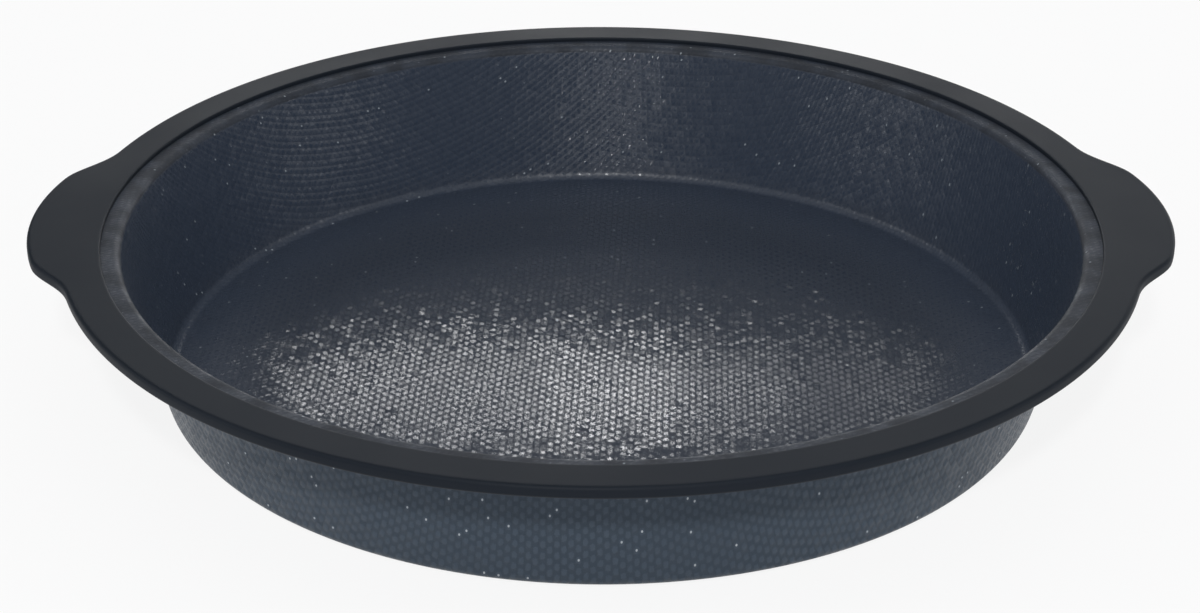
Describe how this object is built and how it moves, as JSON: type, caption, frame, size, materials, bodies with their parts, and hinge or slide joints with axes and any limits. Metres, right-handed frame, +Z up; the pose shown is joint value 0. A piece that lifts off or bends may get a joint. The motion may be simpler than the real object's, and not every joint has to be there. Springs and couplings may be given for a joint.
{
  "type": "baking pan",
  "caption": "Round flexible baking pan: a dish of silicone-coated woven glass cloth in a moulded silicone rim with two grips, stiffened by a steel hoop.",
  "frame": {"origin": "centre of the flat base, on the surface that the pan stands on", "axes": "+X along the two grips, +Y across the pan towards its back, +Z up out of the mouth"},
  "size_m": [0.2888, 0.271, 0.04],
  "materials": {
    "woven_cloth": "matte woven glass cloth soaked in dark silicone",
    "release_coat": "satin silicone over a visible weave",
    "rim_silicone": "matte moulded silicone",
    "hoop_steel": "drawn stainless wire"
  },
  "bodies": {
    "root": {"woven_shell": "woven_cloth", "inner_coat": "release_coat", "silicone_rim": "rim_silicone", "rim_hoop": "hoop_steel"}
  },
  "joints": []
}
